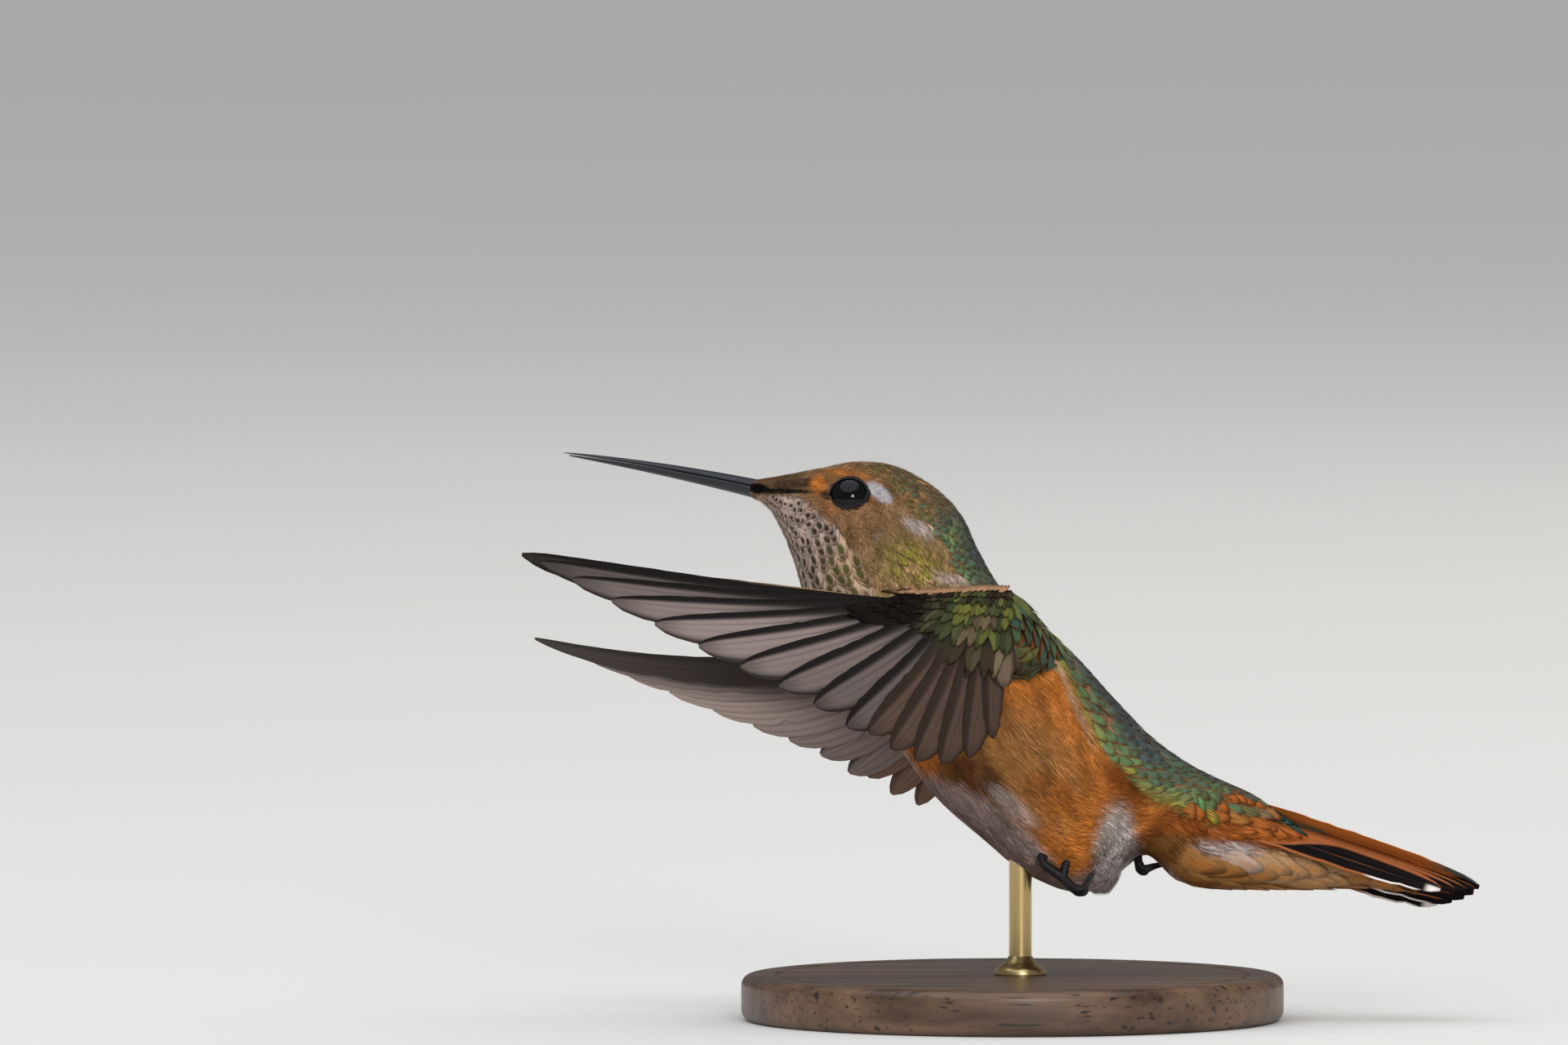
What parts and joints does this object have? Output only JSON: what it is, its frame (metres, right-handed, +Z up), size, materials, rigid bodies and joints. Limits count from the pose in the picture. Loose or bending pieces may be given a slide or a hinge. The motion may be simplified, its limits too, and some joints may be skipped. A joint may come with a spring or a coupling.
{
  "type": "rufous hummingbird, life-size model on a stand",
  "caption": "Life-size rufous hummingbird in flight, wings swept forward, body raised and banked, held over a round wooden base by a short rod.",
  "frame": {"origin": "middle of the flat underside of the stand's base", "axes": "the bird faces -X with its left side towards -Y, and +Z is up"},
  "size_m": [0.0843, 0.0517, 0.0498],
  "materials": {
    "bronze_plumage": "soft overlapping feathers, bronze green with a low sheen",
    "rufous_plumage": "soft hair-like feathers, orange rufous",
    "flight_feathers": "stiff grey-brown vanes with dark shafts",
    "tail_feathers": "stiff vanes, rufous at the base, black towards white tips",
    "bill_horn": "blue-black horn with a dull shine",
    "eye_gloss": "wet-looking dark brown",
    "white_down": "fluffy greyish white down",
    "foot_skin": "black scaled skin and claws",
    "stand_wood": "dark stained hardwood, satin",
    "stand_brass": "brushed brass"
  },
  "bodies": {
    "root": {"head": "bronze_plumage", "neck": "bronze_plumage", "trunk": "rufous_plumage", "rump": "rufous_plumage", "bill_upper": "bill_horn", "bill_lower": "bill_horn", "eye_left": "eye_gloss", "eye_right": "eye_gloss", "wing_left_arm": "bronze_plumage", "wing_left_primaries": "flight_feathers", "wing_left_secondaries": "flight_feathers", "wing_right_arm": "bronze_plumage", "wing_right_primaries": "flight_feathers", "wing_right_secondaries": "flight_feathers", "tail_central": "tail_feathers", "tail_left": "tail_feathers", "tail_right": "tail_feathers", "leg_left": "white_down", "leg_right": "white_down", "foot_left": "foot_skin", "foot_right": "foot_skin", "stand_base": "stand_wood", "stand_rod": "stand_brass"}
  },
  "joints": []
}
